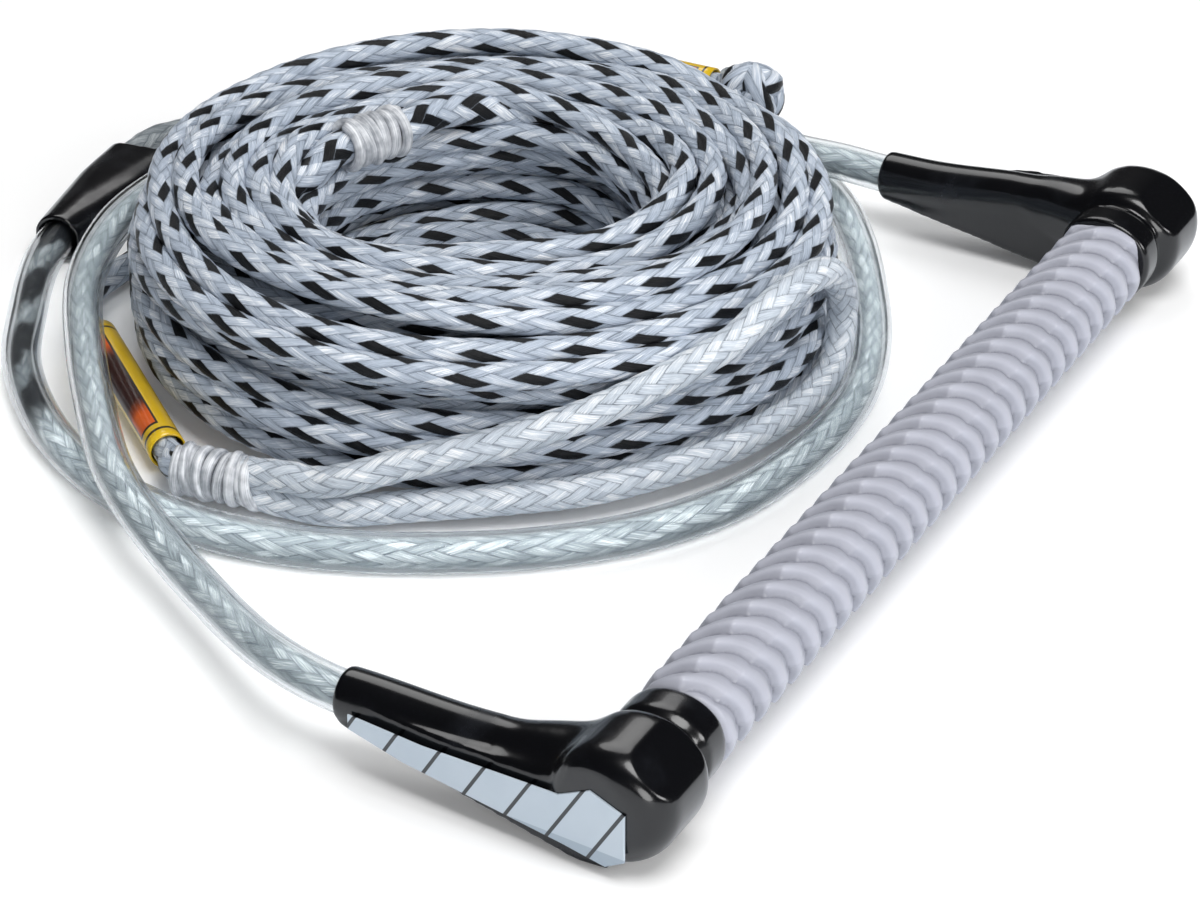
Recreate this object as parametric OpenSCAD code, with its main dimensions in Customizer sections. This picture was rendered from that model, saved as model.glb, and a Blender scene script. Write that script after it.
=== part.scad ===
// Tow rope handle: a gripped bar with two end caps, a tubed rope bridle and its main line in a coil.
// The handle lies along X on the floor z = 0, and the coil lies behind it on the +Y side.

/* [Bar and grip] */
// Length of grip that shows between the two end caps
grip_len = 305; // [240:1:380]
// Diameter over the grip's ridges
grip_d = 28.8; // [26:0.1:34]
// Depth of the grooves between the ridges
grip_groove = 1.1; // [0.4:0.1:1.6]
// Distance from one ridge to the next
grip_pitch = 10.5; // [6:0.1:16]
// Outside diameter of the aluminium bar
bar_d = 22.2; // [19:0.1:23]
// Wall of the aluminium bar
bar_wall = 1.6; // [1:0.1:3]
// Length of bar that each end cap holds
bar_hold = 12; // [10:0.5:14]

/* [End caps] */
// Width of an end cap, from the grip to its outer face
cap_w = 43.5; // [40:0.5:60]
// Reach from the bar's axis to the sleeve's tip
cap_reach = 88; // [70:1:120]
// Diameter of the round head over the bar's end
head_d = 37; // [35:0.5:44]
// Height of the bar's axis above the floor
bar_z = 20; // [19:0.5:26]
// Diameter of the collar beside the grip
collar_d = 30; // [29:0.5:36]
// Width of the collar
collar_w = 10; // [6:0.5:14]
// Outside diameter of the sleeve
sleeve_d = 15.6; // [15:0.1:20]
// Distance from the grip to the sleeve's axis
sleeve_x = 25; // [22:0.5:28]
// Depth of the pocket that takes the clear tube
pocket_depth = 18; // [10:0.5:24]
// Thickness of the pale panel on the outer face
panel_t = 0.5; // [0.3:0.1:1]

/* [Rope and tube] */
// Diameter of the braided rope
rope_d = 9; // [7:0.1:9.3]
// Outside diameter of the clear tube
tube_d = 12.6; // [12:0.1:12.8]
// Wall of the clear tube
tube_wall = 1.3; // [0.8:0.1:1.4]
// Diameter of the stop knots inside the caps
stop_knot_d = 19; // [16:0.5:21]
// Diameter of the knot that joins the bridle to the main line
line_knot_d = 23; // [18:0.5:26]

/* [Coil] */
// Outside diameter of the coil
coil_outer_d = 222; // [206:1:224]
// Inside diameter of the coil
coil_inner_d = 108; // [100:1:114]
// Height of the coil
coil_h = 61; // [54:0.5:62]
// Distance from one turn to the next
turn_pitch = 9.8; // [9.7:0.1:11]
// Radius of the coil's rounded shoulders, at the middle of the rope
shoulder_r = 13; // [12.5:0.5:16]
// How far the inner turns lie over into the hole on the front side
front_lean = 11; // [6:0.5:13]
// Length of the section's run across the floor of the hole
hole_run = 2; // [0:0.5:4]

/* [Yoke, labels and whippings] */
// Length of the black yoke that joins the two legs
yoke_len = 62; // [50:1:66]
// Length of the label sleeve beside the tow loop
front_label_len = 78; // [60:1:80]
// Length of the label sleeve beside the knot
back_label_len = 50; // [30:1:52]
// Outside diameter of the label sleeves
label_d = 11.6; // [11:0.1:12]
// Wall of the label sleeves
label_wall = 0.8; // [0.5:0.1:0.9]
// Diameter of the whipping twine
twine_d = 2; // [1.2:0.1:2.2]
// Turns of twine in each whipping
whipping_turns = 7; // [4:1:7]

/* [Hidden] */

$fn = 64;

// Clearances: a slip fit, a touching soft fit and an overrun for cuts
slip = 0.05;
seat_gap = 0.2;
soft_gap = 0.3;
over = 1;

// Handle
grip_end = grip_len / 2;
cap_outer = grip_end + cap_w;
head_r = head_d / 2;
head_facet = 2.4;
bar_y = -(cap_reach - head_r) / 2;
tip_y = bar_y + cap_reach;
sleeve_axis = grip_end + sleeve_x;
sleeve_z = bar_z;
plug_len = 8;
bar_end = grip_end + bar_hold;
chamber_end = sleeve_axis + stop_knot_d / 2 + 1.5;
rope_bore_r = rope_d / 2 + seat_gap;
pocket_r = tube_d / 2 + seat_gap;
pocket_y = tip_y - pocket_depth;

// The cap's outer face leans in towards the sleeve's tip
face_lean = atan((cap_outer - sleeve_axis - sleeve_d / 2 - 0.6) / cap_reach);
web_top_z = sleeve_z + 3;
web_foot_z = 0;
web_tip_z = sleeve_z - 6.5;
web_tip_len = 4;
web_inset = 3;

// Cords
cord_sides = 8;
wound_sides = 6;
rope_r = rope_d / 2;
tube_r = tube_d / 2;
bore_r = tube_r - tube_wall;

// Coil, with its place behind the handle
coil_at = [49.5, 135];
outer_turn_r = coil_outer_d / 2 - rope_r;
inner_turn_r = coil_inner_d / 2 + rope_r;
floor_turn_z = rope_r + 0.4;
top_turn_z = coil_h - rope_r;
loop_rings = 24;

// The yoke's trunk face, its turn and the spacing of its two leg bores
yoke_at = [28, 284, 8.8];
yoke_turn = 6;
leg_spacing = 13;
yoke_bore_depth = 17;
yoke_dir = [cos(yoke_turn), sin(yoke_turn), 0];
yoke_side = [-sin(yoke_turn), cos(yoke_turn), 0];
near_port = yoke_at + yoke_dir * yoke_len - yoke_side * leg_spacing / 2;
far_port = yoke_at + yoke_dir * yoke_len + yoke_side * leg_spacing / 2;

// Routes of the cords, with the leg's free bend next to each cap
near_route = [
    [-sleeve_axis, pocket_y + seat_gap, sleeve_z], [-sleeve_axis, tip_y, sleeve_z],
    [-175, 68, 20.5], [-168.5, 83, 19.5], [-160, 97, 18], [-151, 110, 16.5],
    [-135, 134, 16], [-119, 158, 18.5], [-103, 177, 20.5], [-80, 197, 22], [-52, 219, 24],
    [-20, 240, 26], [14, 252, 27], [45, 255, 26], [72, 252, 24.5],
    [94, 247, 22], [112, 252, 18], [120, 266, 13], [111, 280, 9.5],
    near_port, near_port - yoke_dir * yoke_bore_depth
];
far_route = [
    [sleeve_axis, pocket_y + seat_gap, sleeve_z], [sleeve_axis, tip_y, sleeve_z],
    [178, 69, 20.5], [179.5, 84, 19.5], [182, 99, 18.5], [185.5, 114, 17],
    [190, 140, 13], [190, 170, 9], [183, 200, 6.8], [170, 228, 6.6], [152, 256, 6.6],
    [131, 281, 7], [111, 296, 8.2], far_port, far_port - yoke_dir * yoke_bore_depth
];
trunk_route = [
    yoke_at + yoke_dir * yoke_bore_depth, yoke_at, [10, 279, 7.5], [-16, 266, 6.6], [-43, 250, 6.6],
    [-66, 229, 6.6], [-84, 206, 6.6], [-97, 180, 6.6], [-103, 152, 6.6], [-102, 126, 6.6],
    [-95, 100, 6.6], [-83, 75, 6.6], [-67, 51, 6.6], [-46, 30, 6.6], [-20, 15, 6.6], [8, 8, 6.6],
    [37, 6, 6.6], [66, 10, 6.6], [95, 20, 6.6], [123, 34, 6.6], [150, 50, 6.6], [174, 68, 6.6],
    [191, 88, 6.6], [202, 106, 9], [204, 118, 19], [197, 121, 30], [186, 113, 38], [176.5, 105.5, 41]
];
flex_last = 5;
near_tube_last = 14;
far_tube_last = 11;
trunk_tube_last = 22;

// The knot, the lead through the back label and over the coil's top
knot_at = [167, 98, 44];
back_label_y = 112;
line_route = [
    [167, 110, 44], [167, 126, 44], [167, 142, 44], [167, 158, 44], [167, 174, 44],
    [162, 190, 43.5], [151, 205, 42], [136, 213, 40], [122, 214, 38]
];

// The front label's straight stretch of rope, from its lower end
label_foot = [-72, 176.5, 7];
label_turn = 48.7;
label_dir = [cos(label_turn), sin(label_turn), 0];
front_label_at = 2;
straight_len = 96;

// The tow loop's splice, its throat and the loop's two ends
splice_at = [-80, 159, 9.3];
splice_dir = [0.1, -0.995, 0];
splice_len = 27;
splice_body_len = 19;
splice_r = 6.2;
throat_r = 4.9;
leg_rise = 4.5;
leg_up = [0, 0, leg_rise];
throat_at = splice_at + splice_dir * (splice_len + seat_gap);
loop_route = [
    throat_at + leg_up, throat_at + leg_up + splice_dir * rope_d,
    [-74, 112, 17], [-66, 98, 21.5], [-52, 74, 28], [-31, 50, 35.5], [2, 29, 44], [18, 22.8, 50],
    [36, 19.3, 52.5], [54, 18.2, 48.5], [67, 19.2, 37.5], [73, 21, 24], [66, 19.8, 12.5], [48, 18.5, 8.5],
    [28, 20.5, 7.5], [-1, 29.5, 7], [-32, 50, 6], [-52, 75, 5.2], [-66, 98, 4.9], [-74, 112, 4.8],
    throat_at - leg_up + splice_dir * rope_d, throat_at - leg_up
];

// A short spliced tail on the coil's inner shoulder
section_route = [
    [35, 191, 50], [48.3, 188.8, 53.5], [56.4, 184.9, 54], [64.5, 181, 54], [72.6, 177.1, 54],
    [80.7, 173.2, 53.5], [99, 163.5, 50]
];
section_dir = [0.9, -0.436, 0];
section_whip_mid = [64.5, 181, 54];

// The main line's start on the coil, and the lead from the front label to it
start_angle = 77;
start_r = outer_turn_r + rope_d + soft_gap;
start_point = [
    coil_at[0] + start_r * cos(start_angle),
    coil_at[1] + start_r * sin(start_angle),
    floor_turn_z
];
start_dir = [sin(start_angle), -cos(start_angle), 0];
tow_route = [
    splice_at - splice_dir * seat_gap, splice_at - splice_dir * rope_d,
    for (share = [0 : 0.25 : 1]) label_foot + label_dir * share * straight_len,
    [4, 255.5, 6.5], [22, 257, 5.5],
    start_point - start_dir * 3 * rope_d, start_point - start_dir * (rope_d + seat_gap)
];

// Curves and sweeps
function unit(v) = v / norm(v);

function spline_point(a, b, c, d, t) =
    0.5 * (2 * b + (c - a) * t + (2 * a - 5 * b + 4 * c - d) * t * t + (3 * b - a - 3 * c + d) * t * t * t);

function smooth(p, steps) = let (last = len(p) - 1) [
    for (i = [0 : last - 1], k = [0 : steps - 1])
        spline_point(
            i > 0 ? p[i - 1] : 2 * p[0] - p[1], p[i], p[i + 1],
            i + 1 < last ? p[i + 2] : 2 * p[last] - p[last - 1], k / steps),
    p[last]
];

function tangents(p) = let (last = len(p) - 1) [
    for (i = [0 : last]) unit(p[min(i + 1, last)] - p[max(i - 1, 0)])
];

function square_to(n, t) = unit(n - (n * t) * t);

function normals(t) = [
    for (i = 0, n = square_to(abs(t[0][2]) > 0.9 ? [1, 0, 0] : [0, 0, 1], t[0]);
         i < len(t);
         i = i + 1, n = i < len(t) ? square_to(n, t[i]) : n) n
];

function rings(p, t, r, sides) = let (n = normals(t)) [
    for (i = [0 : len(p) - 1], k = [0 : sides - 1])
        let (a = 360 * (k + 0.5) / sides)
        p[i] + r * cos(a) * n[i] + r * sin(a) * cross(t[i], n[i])
];

function slice(list, first, last) = [for (i = [first : last]) list[i]];

function wall_faces(count, sides, base) = [
    for (i = [0 : count - 2], k = [0 : sides - 1], half = [0, 1])
        let (a = base + i * sides + k, b = base + i * sides + (k + 1) % sides)
        half == 0 ? [a, b, b + sides] : [a, b + sides, a + sides]
];

function flipped(faces) = [for (f = faces) [f[2], f[1], f[0]]];

function cap_faces(first, sides) = [for (k = [1 : sides - 2]) [first, first + k + 1, first + k]];

function ring_faces(outer, inner, sides) = [
    for (k = [0 : sides - 1], half = [0, 1])
        let (n = (k + 1) % sides)
        half == 0 ? [outer + k, inner + k, inner + n] : [outer + k, inner + n, outer + n]
];

module solid_cord(p, t, r, sides) {
    end = (len(p) - 1) * sides;
    polyhedron(
        rings(p, t, r, sides),
        concat(flipped(wall_faces(len(p), sides, 0)), flipped(cap_faces(0, sides)), cap_faces(end, sides)));
}

module hollow_cord(p, t, r, inner_r, sides) {
    count = len(p) * sides;
    end = (len(p) - 1) * sides;
    polyhedron(
        concat(rings(p, t, r, sides), rings(p, t, inner_r, sides)),
        concat(
            flipped(wall_faces(len(p), sides, 0)),
            wall_faces(len(p), sides, count),
            flipped(ring_faces(0, count, sides)),
            ring_faces(end, count + end, sides)));
}

// One stretch of a smoothed route, from one chosen point to another
function stretch_points(route, first, last, steps) =
    slice(smooth(route, steps), first * steps, last * steps);
function stretch_dirs(route, first, last, steps) =
    slice(tangents(smooth(route, steps)), first * steps, last * steps);

module rope_stretch(route, first, last, steps) {
    solid_cord(
        stretch_points(route, first, last, steps), stretch_dirs(route, first, last, steps),
        rope_r, cord_sides);
}

module tube_stretch(route, first, last, steps) {
    hollow_cord(
        stretch_points(route, first, last, steps), stretch_dirs(route, first, last, steps),
        tube_r, bore_r, cord_sides);
}

// The coil's section, walked from the outer foot over the top and down into the hole, where it turns in
wall_len = top_turn_z - shoulder_r - floor_turn_z;
inner_wall_len = wall_len - shoulder_r;
arc_len = PI / 2 * shoulder_r;
flat_len = outer_turn_r - inner_turn_r - 2 * shoulder_r;
section_len = wall_len + flat_len + inner_wall_len + 3 * arc_len + hole_run;

function section_at(s) =
    let (
        a = s - wall_len,
        b = a - arc_len,
        c = b - flat_len,
        d = c - arc_len,
        e = d - inner_wall_len,
        f = e - arc_len,
        up = top_turn_z - shoulder_r
    )
    a < 0 ? [outer_turn_r, floor_turn_z + s] :
    b < 0 ? [outer_turn_r - shoulder_r * (1 - cos(a / shoulder_r * 180 / PI)),
             up + shoulder_r * sin(a / shoulder_r * 180 / PI)] :
    c < 0 ? [outer_turn_r - shoulder_r - b, top_turn_z] :
    d < 0 ? [inner_turn_r + shoulder_r * (1 - sin(c / shoulder_r * 180 / PI)),
             up + shoulder_r * cos(c / shoulder_r * 180 / PI)] :
    e < 0 ? [inner_turn_r, up - d] :
    f < 0 ? [inner_turn_r - shoulder_r * (1 - cos(e / shoulder_r * 180 / PI)),
             floor_turn_z + shoulder_r * (1 - sin(e / shoulder_r * 180 / PI))] :
    [inner_turn_r - shoulder_r - f, floor_turn_z];

lead_rings = 6;
tail_in = 0.4 * rope_d;
lean_angle = 214;
coil_steps = floor(section_len / turn_pitch * loop_rings);

function ease(share) = share * share * (3 - 2 * share);

// The turns lie over towards the hole, the inner ones most
function lean_at(a, r) =
    let (share = (outer_turn_r - rope_d - r) / (outer_turn_r - rope_d - inner_turn_r))
    front_lean * pow(max(0, cos(a - lean_angle)), 1.2) * max(0, min(1, share));

function winding_point(i) =
    let (
        q = section_at(i / loop_rings * turn_pitch),
        lead = max(0, 1 - i / lead_rings),
        tail = max(0, 1 - (coil_steps - i) / lead_rings),
        a = start_angle - i * 360 / loop_rings,
        r = q[0] + (start_r - outer_turn_r) * ease(lead) - tail_in * ease(tail) - lean_at(a, q[0])
    )
    [coil_at[0] + r * cos(a), coil_at[1] + r * sin(a), q[1]];

function winding_path() = let (p = [for (i = [0 : coil_steps]) winding_point(i)], last = len(p) - 1)
    concat([p[0] - start_dir * rope_d], p, [p[last] + unit(p[last] - p[last - 1]) * rope_d]);

function least_gap(p, apart, size) =
    min([
        for (i = [0 : len(p) - 1 - apart])
            min([for (j = [i + apart : len(p) - 1]) norm(p[i] - p[j])])
    ]) - size;

function helix(mid, dir, r, pitch, turns, per_turn) =
    let (u = square_to([0, 0, 1], dir), v = cross(dir, u)) [
    for (i = [0 : turns * per_turn])
        let (a = 360 * i / per_turn)
        mid + dir * pitch * (i / per_turn - turns / 2) + r * cos(a) * u + r * sin(a) * v
];

module whipping(mid, dir, core_r) {
    per_turn = 12;
    pitch = twine_d + 0.5;
    turn = helix(mid, dir, core_r + twine_d / 2 + soft_gap, pitch, whipping_turns, per_turn);
    last = len(turn) - 1;
    p = concat(
        [turn[0] + unit(turn[0] - turn[1]) * twine_d], turn,
        [turn[last] + unit(turn[last] - turn[last - 1]) * twine_d]);
    echo(whipping_gap = least_gap(p, per_turn / 2 + 2, twine_d));
    solid_cord(p, tangents(p), twine_d / 2, wound_sides);
}

// Places on the handle
module on_bar(x) {
    translate([x, bar_y, bar_z]) rotate([0, 90, 0]) children();
}

module near_end() {
    mirror([1, 0, 0]) children();
}

module along_sleeve(y) {
    translate([sleeve_axis, y, sleeve_z]) rotate([-90, 0, 0]) children();
}

// The handle's pieces
module bar_tube() {
    color("silver") on_bar(-bar_end) difference() {
        cylinder(d = bar_d, h = 2 * bar_end);
        translate([0, 0, -over]) cylinder(d = bar_d - 2 * bar_wall, h = 2 * bar_end + 2 * over);
    }
}

module float_core() {
    half = bar_end - plug_len - seat_gap;
    color("whitesmoke") on_bar(-half) cylinder(d = bar_d - 2 * bar_wall - 2 * slip, h = 2 * half);
}

module bar_plug() {
    flange_t = 1.5;
    color("dimgray") {
        on_bar(bar_end - plug_len) cylinder(d = bar_d - 2 * bar_wall - 2 * slip, h = plug_len + flange_t);
        on_bar(bar_end) cylinder(d = bar_d - 2 * slip, h = flange_t);
    }
}

module bar_plug_near() near_end() bar_plug();

module bar_plug_far() bar_plug();

module grip() {
    count = floor(grip_len / grip_pitch);
    margin = (grip_len - count * grip_pitch) / 2;
    crest_r = grip_d / 2;
    groove_r = crest_r - grip_groove;
    inner_r = bar_d / 2 + slip;
    ridge = [[0.08, groove_r], [0.3, crest_r], [0.55, crest_r - 0.1], [0.98, groove_r]];
    outline = concat(
        [[inner_r, 0], [groove_r, 0]],
        [for (i = [0 : count - 1], q = ridge) [q[1], margin + (i + q[0]) * grip_pitch]],
        [[groove_r, grip_len], [inner_r, grip_len]]);
    color([0.74, 0.73, 0.77]) on_bar(-grip_end) rotate_extrude() polygon(outline);
}

// The head and collar are one turned shape about the bar's axis
module cap_head() {
    edge = 6;
    dome = 9;
    neck_end = collar_w + 4;
    outline = concat(
        [[0, 0], [collar_d / 2 - over, 0], [collar_d / 2, over], [collar_d / 2, collar_w]],
        [for (a = [0 : 15 : 90]) [head_r - edge * (1 - sin(a)), neck_end + edge * (1 - cos(a))]],
        [for (a = [0 : 10 : 70]) [head_r - dome * (1 - cos(a)), cap_w - dome + dome * sin(a)]],
        [[head_r - dome, cap_w], [0, cap_w]]);
    on_bar(grip_end) rotate_extrude() polygon(outline);
}

// A flat web hangs under the sleeve and widens into the head
module cap_web() {
    rib = 2;
    head_span = cap_w - collar_w - 2 * web_inset - 4;
    tip_span = sleeve_d - web_inset;
    hull() {
        translate([grip_end + collar_w + web_inset + 4, bar_y, web_foot_z])
            cube([head_span, head_r / 2, web_top_z - web_foot_z + rib]);
        translate([sleeve_axis - tip_span / 2, tip_y - web_tip_len - rib, web_tip_z])
            cube([tip_span, web_tip_len, web_top_z - web_tip_z]);
    }
}

module cap_body() {
    chamfer = 1.2;
    cap_head();
    cap_web();
    along_sleeve(bar_y) cylinder(d = sleeve_d, h = cap_reach - chamfer);
    along_sleeve(tip_y - chamfer) cylinder(d1 = sleeve_d, d2 = sleeve_d - 2 * chamfer, h = chamfer);
    along_sleeve(bar_y + head_r * 0.6) cylinder(d1 = sleeve_d + 10, d2 = sleeve_d - 1, h = head_r * 1.5);
}

// Turns a shape onto the leaning outer face, with its own z pointing out of the face
module on_face() {
    translate([cap_outer - panel_t, bar_y, 0])
        rotate([0, 0, face_lean]) rotate([90, 0, 90]) children();
}

module end_cap() {
    color([0.05, 0.05, 0.06]) difference() {
        cap_body();
        on_bar(grip_end - over) cylinder(d = bar_d + 2 * slip, h = chamber_end - grip_end + over);
        along_sleeve(bar_y) cylinder(r = rope_bore_r, h = cap_reach + over);
        along_sleeve(pocket_y) cylinder(r = pocket_r, h = pocket_depth + over);
        on_face() translate([-head_d, -head_d, 0]) cube([cap_reach + 2 * head_d, 3 * head_d, head_d]);
        on_bar(grip_end + collar_w + over) rotate([0, 0, 225])
            translate([head_r - head_facet, -head_d, 0]) cube([head_d, 2 * head_d, cap_w]);
    }
}

module end_cap_near() near_end() end_cap();

module end_cap_far() end_cap();

module cap_panel() {
    outline = [
        [-7, 7], [-1, 3.5], [12, 5.5], [cap_reach - 24, web_tip_z - 2], [cap_reach - 6, web_tip_z + 2],
        [cap_reach - 6, sleeve_z], [cap_reach - 30, sleeve_z - 1], [14, sleeve_z + 0.5],
        [4, sleeve_z + 5.5], [-7, sleeve_z + 1.5]
    ];
    color([0.72, 0.77, 0.82]) on_face() linear_extrude(panel_t) polygon(outline);
}

module cap_panel_near() near_end() cap_panel();

module cap_panel_far() cap_panel();

module stop_knot() {
    color("lightsteelblue") translate([sleeve_axis, bar_y, sleeve_z]) sphere(d = stop_knot_d);
}

module stop_knot_near() near_end() stop_knot();

module stop_knot_far() stop_knot();

module rope_end() {
    from = bar_y + stop_knot_d / 2 + seat_gap;
    color("lightsteelblue") along_sleeve(from) cylinder(d = rope_d, h = pocket_y - from);
}

module rope_end_near() near_end() rope_end();

module rope_end_far() rope_end();

// The bridle's two legs, the bend beside each cap first
module near_flex_tube() color([0.85, 0.9, 0.92]) tube_stretch(near_route, 0, flex_last, 1);

module near_flex_rope() color("lightsteelblue") rope_stretch(near_route, 0, flex_last, 1);

module far_flex_tube() color([0.85, 0.9, 0.92]) tube_stretch(far_route, 0, flex_last, 1);

module far_flex_rope() color("lightsteelblue") rope_stretch(far_route, 0, flex_last, 1);

module near_leg_tube() color([0.85, 0.9, 0.92]) tube_stretch(near_route, flex_last, near_tube_last, 1);

module near_leg_rope() color("lightsteelblue") rope_stretch(near_route, flex_last, len(near_route) - 1, 1);

module far_leg_tube() color([0.85, 0.9, 0.92]) tube_stretch(far_route, flex_last, far_tube_last, 1);

module far_leg_rope() color("lightsteelblue") rope_stretch(far_route, flex_last, len(far_route) - 1, 1);

module yoke() {
    trunk_wall = 2;
    leg_wall = 2;
    trunk_hold = 20;
    leg_hold = 22;
    color([0.05, 0.05, 0.06]) translate(yoke_at) rotate([0, 0, yoke_turn]) difference() {
        hull() {
            rotate([0, 90, 0]) cylinder(r = tube_r + trunk_wall, h = trunk_hold, $fn = 32);
            for (side = [-1, 1])
                translate([yoke_len - leg_hold, side * leg_spacing / 2, 0])
                    rotate([0, 90, 0]) cylinder(r = rope_r + leg_wall, h = leg_hold, $fn = 32);
        }
        translate([-over, 0, 0])
            rotate([0, 90, 0]) cylinder(r = pocket_r, h = yoke_bore_depth + over + seat_gap);
        for (side = [-1, 1])
            translate([yoke_len - yoke_bore_depth - seat_gap, side * leg_spacing / 2, 0])
                rotate([0, 90, 0]) cylinder(r = rope_bore_r, h = yoke_bore_depth + over);
    }
}

module trunk_tube() color([0.85, 0.9, 0.92]) tube_stretch(trunk_route, 0, trunk_tube_last, 1);

module trunk_rope() color("lightsteelblue") rope_stretch(trunk_route, 0, len(trunk_route) - 1, 1);

// The main line, from the knot to the tow loop
module line_knot() {
    color("lightsteelblue") translate(knot_at) sphere(d = line_knot_d);
}

module line_lead() color("lightsteelblue") rope_stretch(line_route, 0, len(line_route) - 1, 1);

module coil_core() {
    wall = rope_r + soft_gap;
    round_r = shoulder_r - wall;
    inside = inner_turn_r + wall;
    // The turns run straight from ring to ring, so they cut inside their circle
    chord_sag = outer_turn_r * (1 - cos(180 / loop_rings));
    outside = outer_turn_r - wall - chord_sag;
    top = top_turn_z - wall;
    outline = concat(
        [[inside, 0], [outside, 0]],
        [for (a = [0 : 15 : 90]) [outside - round_r * (1 - cos(a)), top - round_r * (1 - sin(a))]],
        [for (a = [0 : 15 : 90]) [inside + round_r * (1 - sin(a)), top - round_r * (1 - cos(a))]]);
    color("slategray") translate([coil_at[0], coil_at[1], 0]) rotate_extrude($fn = 96) polygon(outline);
}

module coil_turns() {
    p = winding_path();
    echo(coil_gap = least_gap(p, loop_rings * 3 / 4, rope_d));
    color("lightsteelblue") solid_cord(p, tangents(p), rope_r, wound_sides);
}

module section_splice() color("lightsteelblue") rope_stretch(section_route, 0, len(section_route) - 1, 1);

module section_whipping() color("silver") whipping(section_whip_mid, section_dir, rope_r);

module tow_lead() color("lightsteelblue") rope_stretch(tow_route, 0, len(tow_route) - 1, 1);

module loop_splice() {
    throat_len = splice_len - splice_body_len;
    lean = atan2(splice_dir[1], splice_dir[0]);
    flare = throat_len / 2;
    color("lightsteelblue") translate(splice_at) rotate([0, 0, lean]) rotate([0, 90, 0]) {
        cylinder(r = splice_r, h = splice_body_len + flare / 2);
        hull() {
            translate([0, 0, splice_body_len]) cylinder(r = splice_r, h = flare / 2, $fn = 32);
            for (side = [-1, 1])
                translate([side * leg_rise, 0, splice_body_len + flare])
                    cylinder(r = throat_r - soft_gap, h = throat_len - flare, $fn = 32);
        }
    }
}

module loop_whipping() {
    mid = splice_at + splice_dir * splice_body_len / 2;
    color("silver") whipping(mid, splice_dir, splice_r);
}

module tow_loop() color("lightsteelblue") rope_stretch(loop_route, 0, len(loop_route) - 1, 2);

// The two loose label sleeves
module label_sleeve(length) {
    color("gold") difference() {
        cylinder(d = label_d, h = length);
        translate([0, 0, -over]) cylinder(d = label_d - 2 * label_wall, h = length + 2 * over);
    }
}

module front_label() {
    translate(label_foot + label_dir * front_label_at)
        rotate([0, 90, label_turn]) label_sleeve(front_label_len);
}

module back_label() {
    translate([knot_at[0], back_label_y, knot_at[2]]) rotate([-90, 0, 0]) label_sleeve(back_label_len);
}

bar_tube();
float_core();
bar_plug_near();
bar_plug_far();
grip();
end_cap_near();
end_cap_far();
cap_panel_near();
cap_panel_far();
stop_knot_near();
stop_knot_far();
rope_end_near();
rope_end_far();
near_flex_tube();
near_flex_rope();
far_flex_tube();
far_flex_rope();
near_leg_tube();
near_leg_rope();
far_leg_tube();
far_leg_rope();
yoke();
trunk_tube();
trunk_rope();
line_knot();
line_lead();
coil_core();
coil_turns();
section_splice();
section_whipping();
tow_lead();
loop_splice();
loop_whipping();
tow_loop();
front_label();
back_label();
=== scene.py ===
import math

import bmesh
import bpy
import numpy as np
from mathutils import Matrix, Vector


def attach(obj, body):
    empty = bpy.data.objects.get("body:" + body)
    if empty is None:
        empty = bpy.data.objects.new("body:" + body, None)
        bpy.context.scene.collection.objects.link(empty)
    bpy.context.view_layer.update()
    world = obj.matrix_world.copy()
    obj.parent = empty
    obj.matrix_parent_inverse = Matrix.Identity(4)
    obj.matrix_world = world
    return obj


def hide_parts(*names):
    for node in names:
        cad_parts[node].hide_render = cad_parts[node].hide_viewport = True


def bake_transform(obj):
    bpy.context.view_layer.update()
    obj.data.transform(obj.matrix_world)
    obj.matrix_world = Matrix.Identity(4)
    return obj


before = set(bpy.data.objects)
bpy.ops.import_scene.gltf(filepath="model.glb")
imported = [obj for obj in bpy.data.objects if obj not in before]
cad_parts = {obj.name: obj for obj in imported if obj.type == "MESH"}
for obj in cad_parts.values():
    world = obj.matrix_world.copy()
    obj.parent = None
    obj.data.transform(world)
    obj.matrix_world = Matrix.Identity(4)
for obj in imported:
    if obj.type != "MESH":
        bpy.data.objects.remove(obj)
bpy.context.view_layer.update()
print("frame loaded,", len(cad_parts), "CAD nodes")

mm = 0.001
scene = bpy.context.scene

# Camera, at the photograph's angle
view = {
    "place": (-0.9966, -0.451, 0.6488), "aim": (0.7682, 0.3999, -0.5), "lens": 127.6,
    "sensor": 36, "far": 20,
}


def addObject(name, data):
    item = bpy.data.objects.new(name, data)
    scene.collection.objects.link(item)
    return item


def aimedObject(name, data, place, direction):
    item = addObject(name, data)
    item.location = place
    item.rotation_mode = "QUATERNION"
    item.rotation_quaternion = direction.to_track_quat("-Z", "Y")
    return item


def makeCamera():
    data = bpy.data.cameras.new("photoView")
    data.lens = view["lens"]
    data.sensor_width = view["sensor"]
    data.clip_end = view["far"]
    scene.camera = aimedObject("photoView", data, view["place"], Vector(view["aim"]))


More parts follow.
